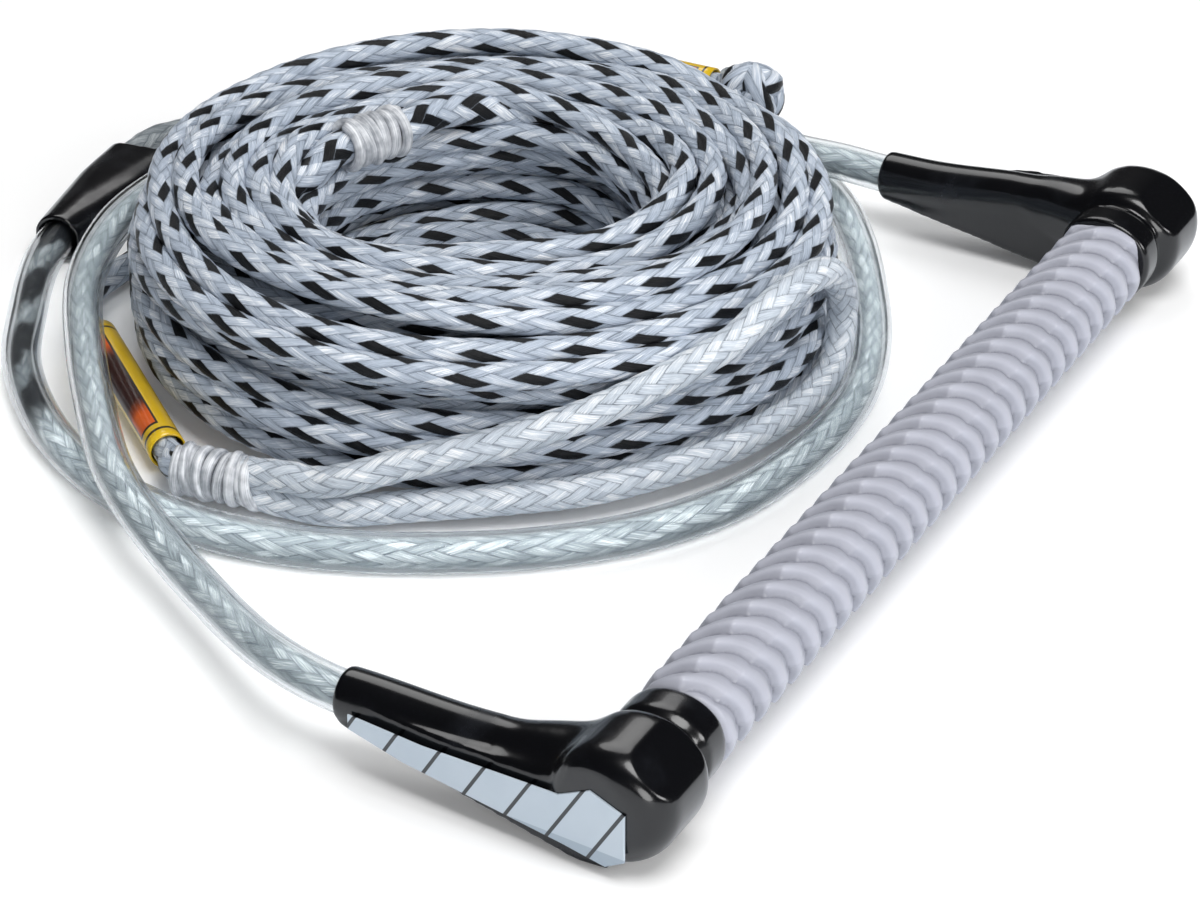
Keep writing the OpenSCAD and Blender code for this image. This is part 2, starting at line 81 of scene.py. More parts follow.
class Wire:
    # One output socket of a node tree: + - * % < on it add Math nodes
    def __init__(self, tree, socket=None):
        self.tree = tree
        self.socket = socket

    def add(self, kind, settings=None, links=None, out=0):
        node = self.tree.nodes.new("ShaderNode" + kind)
        for name, value in (settings or {}).items():
            setattr(node, name, value)
        for key, value in (links or {}).items():
            if isinstance(value, Wire):
                self.tree.links.new(value.socket, node.inputs[key])
            else:
                node.inputs[key].default_value = value
        return Wire(self.tree, node.outputs[out])

    def calc(self, operation, *values):
        return self.add("Math", {"operation": operation}, dict(enumerate(values)))

    def __add__(self, other):
        return self.calc("ADD", self, other)

    def __radd__(self, other):
        return self.calc("ADD", other, self)

    def __sub__(self, other):
        return self.calc("SUBTRACT", self, other)

    def __rsub__(self, other):
        return self.calc("SUBTRACT", other, self)

    def __mul__(self, other):
        return self.calc("MULTIPLY", self, other)

    def __rmul__(self, other):
        return self.calc("MULTIPLY", other, self)

    def __mod__(self, other):
        return self.calc("FLOORED_MODULO", self, other)

    def __lt__(self, other):
        return self.calc("LESS_THAN", self, other)

    def floor(self):
        return self.calc("FLOOR", self)

    def size(self):
        return self.calc("ABSOLUTE", self)

    def ease(self, low, high):
        # 0 below low, 1 above high, smooth between
        links = {0: self, 1: low, 2: high, 3: 0.0, 4: 1.0}
        return self.add("MapRange", {"interpolation_type": "SMOOTHSTEP"}, links)

    def pick(self, off, on):
        # a colour that goes from off to on with this mask
        links = {0: self, 6: off, 7: on}
        return self.add("Mix", {"data_type": "RGBA"}, links, 2)

    def split(self):
        first = self.add("SeparateXYZ", None, {0: self})
        return [Wire(self.tree, socket) for socket in first.socket.node.outputs]

    def place(self):
        return self.add("TexCoord", None, None, "Object")

    def chart(self, name):
        return self.add("UVMap", {"uv_map": name}).split()[:2]

    def ray(self, kind):
        return self.add("LightPath", None, None, kind)

    def vector(self, x, y, z):
        return self.add("CombineXYZ", None, {0: x, 1: y, 2: z})

    def noise(self, vector, scale, detail=2.0):
        return self.add("TexNoise", None, {"Vector": vector, "Scale": scale, "Detail": detail})

    def bump(self, height, strength, distance):
        return self.add("Bump", None, {"Height": height, "Strength": strength, "Distance": distance})


def newMaterial(name, sockets):
    material = bpy.data.materials.new(name)
    material.use_nodes = True
    tree = material.node_tree
    shader = tree.nodes["Principled BSDF"]
    for socket, value in sockets.items():
        shader.inputs[socket].default_value = value

    def feed(socket, wire):
        tree.links.new(wire.socket, shader.inputs[socket])

    return material, Wire(tree), feed


# The braid: sixteen flat strands, eight each way, over two and under two
braid = {
    "strands": 8, "lay": 78 * mm,
    "round": 0.8,  # a strand's fall from its crown, across it and along it
    "arch": 0.5, "strayScale": 130.0, "strayA": 0.0384, "strayB": 0.024, "fray": 0.6,
    # The seam colour is painted shade where the strands dip under each other
    "seamShadeSide": (-0.2, 0.24), "seamShadeTip": (-0.24, 0.16), "plainFrom": (-0.1, 0.4),
    "brightFrom": (0.40, 0.86), "seamShade": (0.075, 0.09, 0.115, 1),
    "tracer": (0.003, 0.0035, 0.0045, 1), "tracerSheen": (0.028, 0.030, 0.035, 1),
    "tracerStep": 3, "tracerBelow": 2.5,
    "dyedTo": (1.65, 2.0),  # in lays along the rope
    "dyedPitch": 2.15, "dyedEdge": (0.25, 0.36), "dyedLeast": 0.6, "gloss": 0.22,
    "dullGloss": 0.05, "roughness": 0.24, "bump": 0.6, "bumpDepth": 0.6 * mm,
}
# Each rope's strands: painted shade, plain colour and painted shine
ropeTones = {
    "line": ((0.20, 0.237, 0.297, 1), (0.46, 0.525, 0.62, 1), (0.97, 0.985, 1.0, 1)),
    "loop": ((0.30, 0.34, 0.40, 1), (0.58, 0.64, 0.71, 1), (1.0, 1.0, 1.0, 1)),
    "legs": ((0.11, 0.13, 0.145, 1), (0.25, 0.283, 0.303, 1), (0.66, 0.695, 0.712, 1)),
    "trunk": ((0.162, 0.187, 0.209, 1), (0.355, 0.396, 0.422, 1), (0.88, 0.92, 0.94, 1)),
}


def braidMaterial(name, tracers, tones, gloss=braid["gloss"], dyed=False):
    material, wire, feed = newMaterial(name, {"Specular IOR Level": gloss, "IOR": 1.5})
    place = wire.place()
    u, v = wire.chart("lay")
    strands = braid["strands"]
    stray = wire.noise(place, braid["strayScale"]) - 0.5
    a = (v + u + stray * braid["strayA"]) * strands
    b = (v - u + stray * braid["strayB"]) * strands
    rowA = a.floor()
    rowB = b.floor()
    topA = ((rowA + rowB) % 4) < 1.5
    topB = 1 - topA
    across = (topA * (a - rowA) + topB * (b - rowB)) * 2 - 1
    along = topA * ((b + rowA) % 4 - 1) + topB * ((a + rowB) % 4 - 3)
    strand = topA * (rowA * 3.7) + topB * (rowB * 5.3 + 91)  # so that no two strands look alike
    cell = wire.vector(rowA, rowB, 0)
    tuft = wire.add("TexWhiteNoise", {"noise_dimensions": "2D"}, {"Vector": cell})
    fibre = wire.noise(wire.vector(across * 4.5, along * 0.5, strand), 1.6, 5.0)
    streak = wire.noise(wire.vector(across * 17, along * 0.7, strand), 1.4, 4.0)
    side = 1 - across.size()
    tip = 1 - along.size()
    crown = (1 - across * across * braid["round"]) * (1 - along * along * braid["arch"])
    frayed = fibre * braid["fray"] - braid["fray"] / 2
    # Painted shade: each strand darkens towards its sides and tips, where it dips under its
    # neighbours
    outsideSeamShade = (side + frayed).ease(*braid["seamShadeSide"]) * (tip + frayed).ease(*braid["seamShadeTip"])
    # Painted light: the sheen mask, lighter on each strand's crown and along glinting filaments,
    # with a random tone per strand, takes the colour from painted shade through plain to a painted
    # highlight
    paintedSheen = crown * 0.25 + fibre * 1.1 + streak * 1.2 + tuft * 0.35 - 1.1
    shade, plain, bright = tones
    paintedShading = paintedSheen.ease(*braid["plainFrom"]).pick(shade, plain)
    base = outsideSeamShade.pick(braid["seamShade"], paintedSheen.ease(*braid["brightFrom"]).pick(paintedShading, bright))
    if tracers:
        ragged = (tip + streak * 0.5 - 0.25).ease(-0.06, 0.06)
        ragged = ragged * (side + streak * 0.4 - 0.2).ease(-0.05, 0.07)
        flagged = topB * ((rowB * braid["tracerStep"] % strands) < braid["tracerBelow"])
        if tracers > 1:
            other = (rowA * braid["tracerStep"] % strands) < braid["tracerBelow"]
            flagged = flagged + topA * other
        black = streak.ease(0.45, 0.8).pick(braid["tracer"], braid["tracerSheen"])
        base = (flagged * ragged).pick(base, black)
    if dyed:
        wave = (u * braid["dyedPitch"] - v + stray * 0.5) % 1 - 0.5
        band = 1 - wave.size().ease(*braid["dyedEdge"])
        taken = braid["dyedLeast"] + band * (1 - braid["dyedLeast"])
        taken = (1 - u.ease(*braid["dyedTo"])) * taken
        base = taken.pick(base, fibre.pick(braid["tracer"], braid["tracerSheen"]))
    feed("Base Color", base)
    feed("Roughness", braid["roughness"] + streak * 0.24)
    relief = crown * 0.7 + streak * 0.4
    feed("Normal", wire.bump(relief, braid["bump"], braid["bumpDepth"]))
    return material


# Clear vinyl: lamps shine through it, so that the rope inside is lit
clearVinyl = {
    "sockets": {
        "Base Color": (0.945, 0.965, 0.96, 1), "Transmission Weight": 1.0, "IOR": 1.07,
        "Coat Weight": 0.14, "Coat IOR": 1.4, "Coat Roughness": 0.06,
    },
    "passed": (0.915, 0.927, 0.932, 1),
    "straight": 0.45,  # the share of light that goes through unbent
    "hazeScale": 60.0, "waveScale": 35.0, "waveDepth": 0.4 * mm,
}


def clearMaterial():
    material, wire, feed = newMaterial("clearVinyl", clearVinyl["sockets"])
    place = wire.place()
    haze = wire.noise(place, clearVinyl["hazeScale"], 3.0)
    waves = wire.noise(place, clearVinyl["waveScale"])
    feed("Roughness", 0.03 + haze * 0.07)
    feed("Normal", wire.bump(waves, 0.25, clearVinyl["waveDepth"]))
    shadow = wire.ray("Is Shadow Ray")
    through = wire.add("BsdfTransparent", None, {"Color": clearVinyl["passed"]})
    unbent = shadow * (1 - clearVinyl["straight"]) + clearVinyl["straight"]
    vinyl = Wire(wire.tree, wire.tree.nodes["Principled BSDF"].outputs[0])
    both = wire.add("MixShader", None, {0: unbent, 1: vinyl, 2: through})
    wire.tree.links.new(both.socket, wire.tree.nodes["Material Output"].inputs["Surface"])
    return material


# Black dipped vinyl: glossy, faintly wavy, with dust and rubbed marks
blackVinyl = {
    "fresh": (0.0018, 0.002, 0.003, 1), "rubbed": (0.007, 0.008, 0.011, 1),
    "rubbedFrom": (0.52, 0.72), "rubbedScale": 45.0, "waveScale": 70.0,
    "waveDepth": 0.5 * mm, "dustScale": 900.0, "roughness": 0.19, "coat": 0.3,
}


def vinylMaterial():
    material, wire, feed = newMaterial("blackVinyl", {"Coat Roughness": 0.04})
    place = wire.place()
    waves = wire.noise(place, blackVinyl["waveScale"])
    dust = wire.noise(place, blackVinyl["dustScale"], 3.0)
    rubbed = wire.noise(place, blackVinyl["rubbedScale"], 5.0).ease(*blackVinyl["rubbedFrom"])
    feed("Base Color", rubbed.pick(blackVinyl["fresh"], blackVinyl["rubbed"]))
    feed("Roughness", blackVinyl["roughness"] + rubbed * 0.08 + dust * 0.05)
    feed("Coat Weight", blackVinyl["coat"] - rubbed * 0.2)
    feed("Normal", wire.bump(waves + dust * 0.04, 0.22, blackVinyl["waveDepth"]))
    return material


def plainMaterial(name, low, high, roughness, scale):
    material, wire, feed = newMaterial(name, {})
    grain = wire.noise(wire.place(), scale, 4.0)
    feed("Base Color", grain.pick(low, high))
    feed("Roughness", roughness - 0.08 + grain * 0.16)
    feed("Normal", wire.bump(grain, 0.2, 0.2 * mm))
    return material


# Whipping twine: flat satin wraps with fine filaments along them, with painted sheen and painted
# shade between the filaments
twine = {
    "low": (0.22, 0.24, 0.275, 1), "high": (0.86, 0.88, 0.91, 1),
    "litFrom": (0.1, 0.9), "roughness": 0.26, "bumpDepth": 0.4 * mm,
}


def twineMaterial():
    material, wire, feed = newMaterial("whippingTwine", {"Specular IOR Level": 0.6})
    u, v = wire.chart("lay")
    filament = wire.noise(wire.vector(u * 5, v * 26, 0.4), 1.0, 3.0)
    broad = wire.noise(wire.vector(u * 22, v * 3, 2.4), 1.0, 3.0)
    # Painted sheen and painted shade along the filaments
    paintedShading = (filament * 0.8 + broad * 0.9 - 0.35).ease(*twine["litFrom"])
    feed("Base Color", paintedShading.pick(twine["low"], twine["high"]))
    feed("Roughness", twine["roughness"] + filament * 0.22)
    feed("Normal", wire.bump(filament, 0.5, twine["bumpDepth"]))
    return material


# Soft lilac-grey rubber, with painted shade in the steps between its scales and a painted highlight
# on their crests
rubber = {
    "worn": ((0.297, 0.305, 0.352, 1), (0.375, 0.384, 0.442, 1)),
    # The crest colour is a painted highlight and the step colour is painted shade
    "crest": (0.435, 0.445, 0.51, 1), "step": (0.195, 0.2, 0.24, 1),
    "crestHighlightFrom": (0.3, 1.1), "stepShadeFrom": (-0.1, 0.3), "mottleScale": 55.0,
    "poreScale": 1400.0, "roughness": 0.27, "bumpDepth": 0.25 * mm,
}


def rubberMaterial():
    material, wire, feed = newMaterial("gripRubber", {"Specular IOR Level": 0.42})
    place = wire.place()
    depth = wire.add("Attribute", {"attribute_name": "ridge"}, None, "Fac")
    mottle = wire.noise(place, rubber["mottleScale"], 4.0)
    pores = wire.noise(place, rubber["poreScale"])
    worn = mottle.pick(*rubber["worn"])
    # Painted highlight on each scale's crest and painted shade in its step, from the ridge height
    crest = (depth + mottle * 0.5 - 0.25).ease(*rubber["crestHighlightFrom"]).pick(worn, rubber["crest"])
    feed("Base Color", depth.ease(*rubber["stepShadeFrom"]).pick(rubber["step"], crest))
    feed("Roughness", rubber["roughness"] + mottle * 0.13)
    feed("Normal", wire.bump(pores * 0.5 + mottle, 0.18, rubber["bumpDepth"]))
    return material


# A pale film with slanting bars
panelFilm = {
    "bars": 6.2, "slant": 1.15, "lineFrom": (0.452, 0.462), "lowTo": (0.30, 0.305),
    "pale": ((0.43, 0.505, 0.58, 1), (0.53, 0.60, 0.665, 1)),
    "low": (0.33, 0.40, 0.47, 1), "line": (0.02, 0.023, 0.028, 1), "roughness": 0.28,
}


def panelMaterial():
    material, wire, feed = newMaterial("panelFilm", {"Coat Weight": 0.4, "Coat Roughness": 0.1})
    u, v = wire.chart("face")
    slant = (u * panelFilm["bars"] + v * panelFilm["slant"]) % 1
    line = (slant - 0.5).size().ease(*panelFilm["lineFrom"])
    tint = wire.noise(wire.vector(u * 3, v, 0.3), 2.0, 3.0)
    film = v.ease(*panelFilm["lowTo"]).pick(panelFilm["low"], tint.pick(*panelFilm["pale"]))
    feed("Base Color", line.pick(film, panelFilm["line"]))
    feed("Roughness", panelFilm["roughness"] + tint * 0.12)
    return material


# Yellow film sleeve with two framed orange panels; the yellow is darkened overall as painted shade
labelFilm = {
    "yellowWithPaintedShade": ((0.62, 0.37, 0.003, 1), (0.84, 0.57, 0.008, 1)),
    "orange": ((0.58, 0.055, 0.005, 1), (0.84, 0.17, 0.01, 1)),
    "dark": (0.035, 0.009, 0.006, 1), "darkTo": (0.24, 0.36),
    "ink": (0.015, 0.012, 0.01, 1),
    "panel": (0.19, 0.385),  # half its width round the sleeve and half its length
    "frame": (0.225, 0.40), "ringAt": 0.44, "ringHalf": 0.008, "roughness": 0.24,
}


def labelMaterial():
    material, wire, feed = newMaterial("labelFilm", {"Coat Weight": 0.5, "Coat Roughness": 0.08})
    u, v = wire.chart("face")
    across = ((v * 2 + 0.75) % 1 - 0.5).size()
    along = (u - 0.5).size()
    inside = (across < labelFilm["panel"][0]) * (along < labelFilm["panel"][1])
    edged = (across < labelFilm["frame"][0]) * (along < labelFilm["frame"][1]) - inside
    ring = (along - labelFilm["ringAt"]).size() < labelFilm["ringHalf"]
    tint = wire.noise(wire.vector(u * 4, v * 2, 0.7), 2.0, 4.0)
    faded = (along + tint * 0.12).ease(*labelFilm["darkTo"])
    printed = faded.pick(labelFilm["dark"], tint.pick(*labelFilm["orange"]))
    # The yellow carries painted shade
    base = inside.pick(tint.pick(*labelFilm["yellowWithPaintedShade"]), printed)
    inked = (edged + ring).ease(0.2, 0.8)
    feed("Base Color", inked.pick(base, labelFilm["ink"]))
    feed("Roughness", labelFilm["roughness"] + tint * 0.15)
    return material


# Name, two tones, roughness and grain of the plain finishes
plainFinishes = {
    "metal": ("barAluminium", (0.60, 0.61, 0.62, 1), (0.72, 0.73, 0.74, 1), 0.3, 500.0),
    "foam": ("floatFoam", (0.80, 0.80, 0.77, 1), (0.90, 0.90, 0.87, 1), 0.8, 900.0),
    "plug": ("plugPlastic", (0.04, 0.04, 0.045, 1), (0.07, 0.07, 0.075, 1), 0.45, 400.0),
    "core": ("knotRope", (0.36, 0.38, 0.42, 1), (0.60, 0.62, 0.66, 1), 0.4, 600.0),
}

makeCamera()
finish = {
    "rope": braidMaterial("flaggedBraid", 1, ropeTones["line"]),
    "splicedRope": braidMaterial("splicedBraid", 2, ropeTones["line"]),
    "plainRope": braidMaterial("plainBraid", 0, ropeTones["loop"]),
    "tubedRope": braidMaterial("tubedBraid", 0, ropeTones["legs"]),
    "trunkRope": braidMaterial("trunkBraid", 0, ropeTones["trunk"], braid["dullGloss"], True),
    "clear": clearMaterial(), "vinyl": vinylMaterial(), "rubber": rubberMaterial(),
    "panel": panelMaterial(), "label": labelMaterial(), "twine": twineMaterial(),
}
for key, values in plainFinishes.items():
    finish[key] = plainMaterial(*values)
print("camera and finishes made")


def dress(mesh, material):
    mesh.materials.clear()
    mesh.materials.append(finish[material])


def addPiece(name, mesh, material, body, nodes=()):
    piece = addObject(name, mesh)
    dress(mesh, material)
    if body:
        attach(piece, body)
    if nodes:
        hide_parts(*nodes)
    return piece


def meshOf(bm, name):
    mesh = bpy.data.meshes.new(name)
    bm.to_mesh(mesh)
    bm.free()
    return mesh


def pointsOf(mesh):
    points = np.zeros(len(mesh.vertices) * 3)
    mesh.vertices.foreach_get("co", points)
    return points.reshape(-1, 3)


def ramp(values, first, over):
    return np.clip((values - first) / over, 0, 1)


# Cord tools: a route is smoothed, laid out at an even step and swept
sweep = {
    "splineParts": 24, "pathPoints": 900, "bakeRadius": 4.5 * mm, "bakeGap": 1.15,
    "bakeRim": 0.005, "rowRim": 0.04,
    "sunk": 0.6,  # the share of the relief that lies under a rope's radius
}


def smoothRoute(route, step):
    points = np.array(route, float)
    ends = [2 * points[0] - points[1], *points, 2 * points[-1] - points[-2]]
    t = np.linspace(0, 1, sweep["splineParts"], endpoint=False)[:, None]
    fine = []
    for p0, p1, p2, p3 in zip(ends, ends[1:], ends[2:], ends[3:]):
        bent = 2 * p1 + (p2 - p0) * t + (2 * p0 - 5 * p1 + 4 * p2 - p3) * t**2
        fine.append((bent + (3 * p1 - p0 - 3 * p2 + p3) * t**3) / 2)
    return evenSteps(np.vstack([*fine, points[-1:]]), step)


def sizesOf(vectors):
    return np.linalg.norm(vectors, axis=1)


def lengthsAlong(path):
    return np.concatenate([[0], np.cumsum(sizesOf(np.diff(path, axis=0)))])


def evenSteps(path, step):
    run = lengthsAlong(path)
    marks = np.linspace(0, run[-1], max(2, round(run[-1] / step) + 1))
    return np.stack([np.interp(marks, run, path[:, i]) for i in range(3)], 1)


def sweepFrames(path):
    ahead = np.gradient(path, axis=0)
    ahead /= sizesOf(ahead)[:, None]
    side = np.zeros_like(path)
    last = np.array([0, 0, 1.0]) if abs(ahead[0, 2]) < 0.9 else np.array([1.0, 0, 0])
    for i, direction in enumerate(ahead):
        last = last - direction * (last @ direction)
        last /= np.linalg.norm(last)
        side[i] = last
    return side, np.cross(ahead, side)


def braidHeight(u, v):
    # The strands' relief, 0 to 1, in the same pattern that the finish draws
    a = (v + u) * braid["strands"]
    b = (v - u) * braid["strands"]
    rowA, rowB = np.floor(a), np.floor(b)
    topA = (rowA + rowB) % 4 < 2
    across = np.where(topA, a - rowA, b - rowB) * 2 - 1
    along = np.where(topA, (b + rowA) % 4 - 1, (a + rowB) % 4 - 3)
    return (1 - braid["round"] * across**2) * (1 - braid["arch"] * along**2)


def gridFaces(rings, sides, first=0):
    i, k = np.meshgrid(np.arange(rings - 1), np.arange(sides), indexing="ij")
    near, far = first + i * sides + k, first + i * sides + (k + 1) % sides
    return np.stack([near, near + sides, far + sides, far], -1).reshape(-1, 4)


def meshFrom(name, points, quads, ends):
    # quads and end faces as one mesh, with smooth faces
    mesh = bpy.data.meshes.new(name)
    sizes = np.concatenate([np.full(len(quads), 4), [len(end) for end in ends]]).astype(np.int32)
    loops = np.concatenate([quads.ravel(), *ends]).astype(np.int32)
    mesh.vertices.add(len(points))
    mesh.vertices.foreach_set("co", points.astype(np.float32).ravel())
    mesh.loops.add(len(loops))
    mesh.loops.foreach_set("vertex_index", loops)
    mesh.polygons.add(len(sizes))
    starts = np.concatenate([[0], np.cumsum(sizes)[:-1]]).astype(np.int32)
    mesh.polygons.foreach_set("loop_start", starts)
    mesh.update(calc_edges=True)
    mesh.validate()
    mesh.shade_smooth()
    return mesh


def setMap(mesh, name, pairs):
    layer = mesh.uv_layers.new(name=name)
    layer.uv.foreach_set("vector", pairs.astype(np.float32).ravel())


def tubeMaps(mesh, run, sides, loopCount, lay):
    # "lay" follows the strands; "OFBake" folds the long strip into rows
    rings = len(run)
    i, k = np.meshgrid(np.arange(rings - 1), np.arange(sides), indexing="ij")
    ring = np.stack([i, i + 1, i + 1, i], -1).reshape(-1)
    turn = np.stack([k, k, k + 1, k + 1], -1).reshape(-1) / sides
    rest = loopCount - len(ring)
    strands = np.stack([run[ring] / lay, turn], 1)
    setMap(mesh, "lay", np.vstack([strands, np.zeros((rest, 2))]))
    girth = sweep["bakeGap"] * 2 * math.pi * sweep["bakeRadius"]
    rows = max(1, round(math.sqrt((run[-1] - run[0]) / girth)))
    perRow = math.ceil((rings - 1) / rows)
    row = np.repeat((i // perRow).reshape(-1), 4)
    across = (ring - row * perRow) / perRow
    left = sweep["bakeRim"] + (1 - 2 * sweep["bakeRim"]) * across
    up = row + sweep["rowRim"] + (1 - 2 * sweep["rowRim"]) * turn
    folded = np.stack([left, up / rows], 1)
    setMap(mesh, "OFBake", np.vstack([folded, np.full((rest, 2), 0.5 / rows)]))


def spokesRound(side, other, sides):
    angle = (np.arange(sides) / sides * 2 * math.pi)[None, :, None]
    return np.cos(angle) * side[:, None] + np.sin(angle) * other[:, None]


def ropeMesh(name, path, radius, sides, relief, frames=None, run=None, lay=braid["lay"]):
    side, other = sweepFrames(path) if frames is None else frames
    run = lengthsAlong(path) if run is None else run
    reach = np.full((len(path), sides), radius)
    if relief:
        turn = np.arange(sides) / sides
        raised = braidHeight(run[:, None] / lay, turn[None, :]) - sweep["sunk"]
        reach = radius + relief * raised
    points = (path[:, None] + reach[:, :, None] * spokesRound(side, other, sides)).reshape(-1, 3)
    last = (len(path) - 1) * sides
    ends = [np.arange(sides), np.arange(last + sides - 1, last - 1, -1)]
    mesh = meshFrom(name, points, gridFaces(len(path), sides), ends)
    tubeMaps(mesh, run, sides, len(mesh.loops), lay)
    return mesh


def hollowMesh(name, path, radius, inner, sides):
    spokes = spokesRound(*sweepFrames(path), sides)
    skins = [(path[:, None] + r * spokes).reshape(-1, 3) for r in (radius, inner)]
    count = len(path) * sides
    inside = gridFaces(len(path), sides, count)[:, ::-1]
    k = np.arange(sides)
    n = (k + 1) % sides
    rim = np.stack([k, n, count + n, count + k], 1)
    farRim = rim[:, ::-1] + count - sides
    quads = np.vstack([gridFaces(len(path), sides), inside, rim, farRim])
    return meshFrom(name, np.vstack(skins), quads, [])


rope = {
    "radius": 4.3 * mm, "sides": 32, "innerSides": 28, "step": 1.25 * mm, "relief": 0.55 * mm,
    "lift": 0.3,
}
tube = {"radius": 6.3 * mm, "inner": 5.0 * mm, "sides": 32, "step": 3 * mm}


def inMetres(route):
    return np.array(route, float) * mm


# Routes, in millimetres, as the part's own cords run
capMouth = {"x": 177.5, "inner": 35.45, "tip": 53.25, "z": 20}
yoke = {"at": (28, 284, 8.8), "turn": 6, "length": 62, "spacing": 13, "bore": 17}


def heading(degrees):
    return np.array([math.cos(math.radians(degrees)), math.sin(math.radians(degrees)), 0])


def fromCap(side):
    return [(side * capMouth["x"], capMouth[y], capMouth["z"]) for y in ("inner", "tip")]


yokeDir = heading(yoke["turn"])
yokeSide = np.array([-yokeDir[1], yokeDir[0], 0])
yokeEnd = np.array(yoke["at"]) + yokeDir * yoke["length"]
nearPort = yokeEnd - yokeSide * yoke["spacing"] / 2
farPort = yokeEnd + yokeSide * yoke["spacing"] / 2
nearRoute = [
    *fromCap(-1),
    (-175, 68, 20.5), (-168.5, 83, 19.5), (-160, 97, 18), (-151, 110, 16.5), (-135, 134, 16),
    (-119, 158, 18.5), (-103, 177, 20.5), (-80, 197, 22), (-52, 219, 24), (-20, 240, 26),
    (14, 252, 27), (45, 255, 26), (72, 252, 24.5), (94, 247, 22), (112, 252, 18),
    (120, 266, 13), (111, 280, 9.5),
    nearPort, nearPort - yokeDir * yoke["bore"],
]
farRoute = [
    *fromCap(1),
    (178, 69, 20.5), (179.5, 84, 19.5), (182, 99, 18.5), (185.5, 114, 17), (190, 140, 13),
    (190, 170, 9), (183, 200, 6.8), (170, 228, 6.6), (152, 256, 6.6), (131, 281, 7),
    (111, 296, 8.2),
    farPort, farPort - yokeDir * yoke["bore"],
]
trunkRoute = [
    np.array(yoke["at"]) + yokeDir * yoke["bore"], yoke["at"],
    (10, 279, 7.5), (-16, 266, 6.6), (-43, 250, 6.6), (-66, 229, 6.6), (-84, 206, 6.6),
    (-97, 180, 6.6), (-103, 152, 6.6), (-102, 126, 6.6), (-95, 100, 6.6), (-83, 75, 6.6),
    (-67, 51, 6.6), (-46, 30, 6.6), (-20, 15, 6.6), (8, 8, 6.6), (37, 6, 6.6), (66, 10, 6.6),
    (95, 20, 6.6), (123, 34, 6.6), (150, 50, 6.6),
    (174, 68, 6.6), (191, 88, 6.6), (202, 106, 9), (204, 118, 19), (197, 121, 30), (186, 113, 38),
    (176.5, 105.5, 41),
]
tubeLast = {"near": 14, "far": 11, "trunk": 22}  # the route's point at which each tube ends
knotAt = np.array([167, 98, 44.0])
lineRoute = [
    (167, 110, 44), (167, 126, 44), (167, 142, 44), (167, 158, 44), (167, 174, 44),
    (162, 190, 43.5), (151, 205, 42), (136, 213, 40), (122, 214, 38),
]
frontSleeve = {"foot": (-72, 176.5, 7.0), "turn": 48.7, "run": 96, "start": 2, "length": 78}
labelFoot = np.array(frontSleeve["foot"])
labelDir = heading(frontSleeve["turn"])
splice = {
    "at": (-80, 159, 9.3), "dir": (0.1, -0.995, 0), "throat": 27.2, "lap": 6, "ends": 8,
    "whipped": 4.5,
}
spliceAt = np.array(splice["at"])
spliceDir = np.array(splice["dir"])
throatAt = spliceAt + spliceDir * splice["throat"]
legUp = np.array([0, 0, 4.5])
ropeD = 9
loopRoute = [
    throatAt + legUp, throatAt + legUp + spliceDir * ropeD,
    (-74, 112, 17), (-66, 98, 21.5), (-52, 74, 28), (-31, 50, 35.5), (2, 29, 44),
    (18, 22.8, 50), (36, 19.3, 52.5), (54, 18.2, 48.5),
    (67, 19.2, 37.5), (73, 21, 24), (66, 19.8, 12.5), (48, 18.5, 9.5), (28, 20.5, 9.5),
    (-1, 29.5, 9.5), (-32, 50, 9), (-52, 75, 8.2), (-66, 98, 7), (-74, 112, 6),
    throatAt - legUp + spliceDir * ropeD, throatAt - legUp,
]
sectionRoute = [
    (35, 191, 50), (48.3, 188.8, 53.5), (56.4, 184.9, 54), (64.5, 181, 54), (72.6, 177.1, 54),
    (80.7, 173.2, 53.5), (99, 163.5, 50),
]

# The coil's own winding, in three layers inside each other, in millimetres and turns
coil = {
    "centre": (49.5, 135.0), "outer": 106.5, "inner": 58.5, "floor": 4.9, "top": 56.5,
    "shoulder": 13.0, "leastBend": 2.0, "bendPoints": 9,
    "pitch": 8.7, "topPitch": 0.86, "topStep": 4, "layerStep": 9.0,
    "layers": 3, "layerGap": 0.5, "startAngle": 77, "startRadius": 115.8, "leadIn": 0.25,
    "perTurn": 90, "spacing": 6.5,
    "slips": [(0.5, 9, 3), (1.9, 18, 0)],  # loose turns in the hole: turn, way in, height
    "wander": 4.6, "wanderFrom": 0.4, "wanderAcross": 0.6, "wanderUp": 0.8,
    "waves": (1, 2, 3), "draws": 60, "seed": 11, "dip": 3.4, "dipAngle": -25,
    "dipWidth": 11, "dipFrom": (82, 16), "dipHeight": 45, "lean": 15.0, "leanAngle": 214,
    "leanPower": 1.2, "leanFrom": 8,
}
startTurn = math.radians(coil["startAngle"])
startOut = heading(coil["startAngle"])
startDir = np.array([startOut[1], -startOut[0], 0])
startPoint = np.array([*coil["centre"], coil["floor"]]) + coil["startRadius"] * startOut
towRoute = [
    spliceAt + spliceDir * splice["lap"], spliceAt - spliceDir * ropeD,
    *[labelFoot + labelDir * frontSleeve["run"] * share / 4 for share in range(5)],
    (4, 255.5, 6.5), (22, 257, 5.5), startPoint - startDir * 3 * ropeD,
    startPoint - startDir * (ropeD + 0.2),
]


